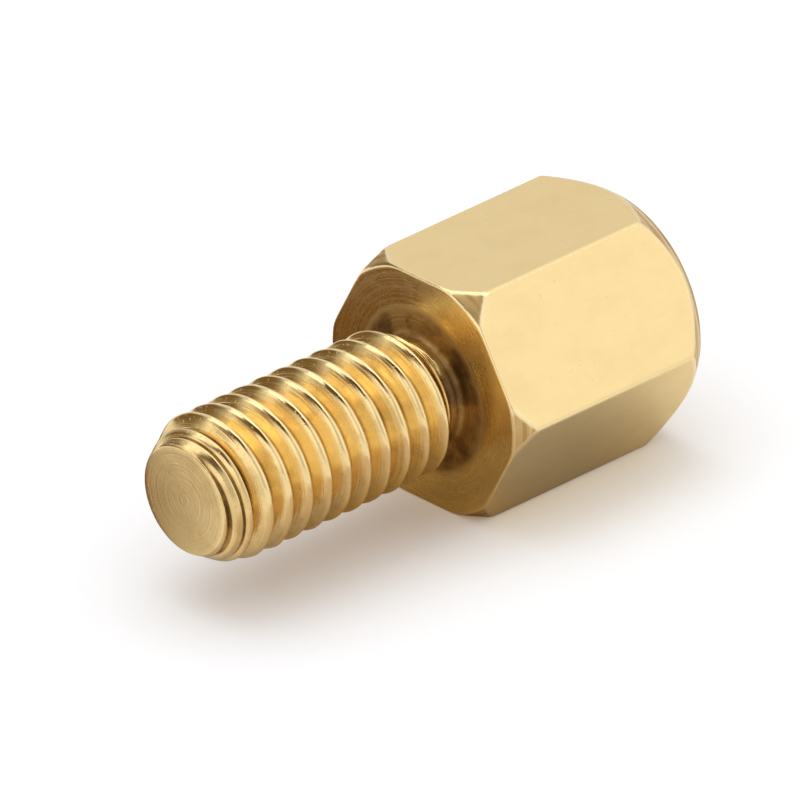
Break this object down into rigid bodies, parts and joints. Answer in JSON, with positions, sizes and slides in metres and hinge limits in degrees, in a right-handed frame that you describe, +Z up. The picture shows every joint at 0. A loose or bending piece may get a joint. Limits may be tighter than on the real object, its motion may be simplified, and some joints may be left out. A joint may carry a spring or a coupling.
{
  "type": "hex standoff",
  "caption": "Hexagonal brass spacer with a threaded stud at one end and a tapped blind hole at the other, for holding a board or panel off its base.",
  "frame": {"origin": "middle of the footprint, on the surface that the part lies on", "axes": "+X along the part's axis, out of the tapped hole; the stud points to -X; +Z up out of the top flat"},
  "size_m": [0.0112, 0.0056, 0.0048],
  "materials": {
    "brass": "bright machined brass: smooth drawn flats, fine turning rings on the ends and chamfers, rough cut thread"
  },
  "bodies": {
    "root": {"hex_standoff": "brass"}
  },
  "joints": []
}
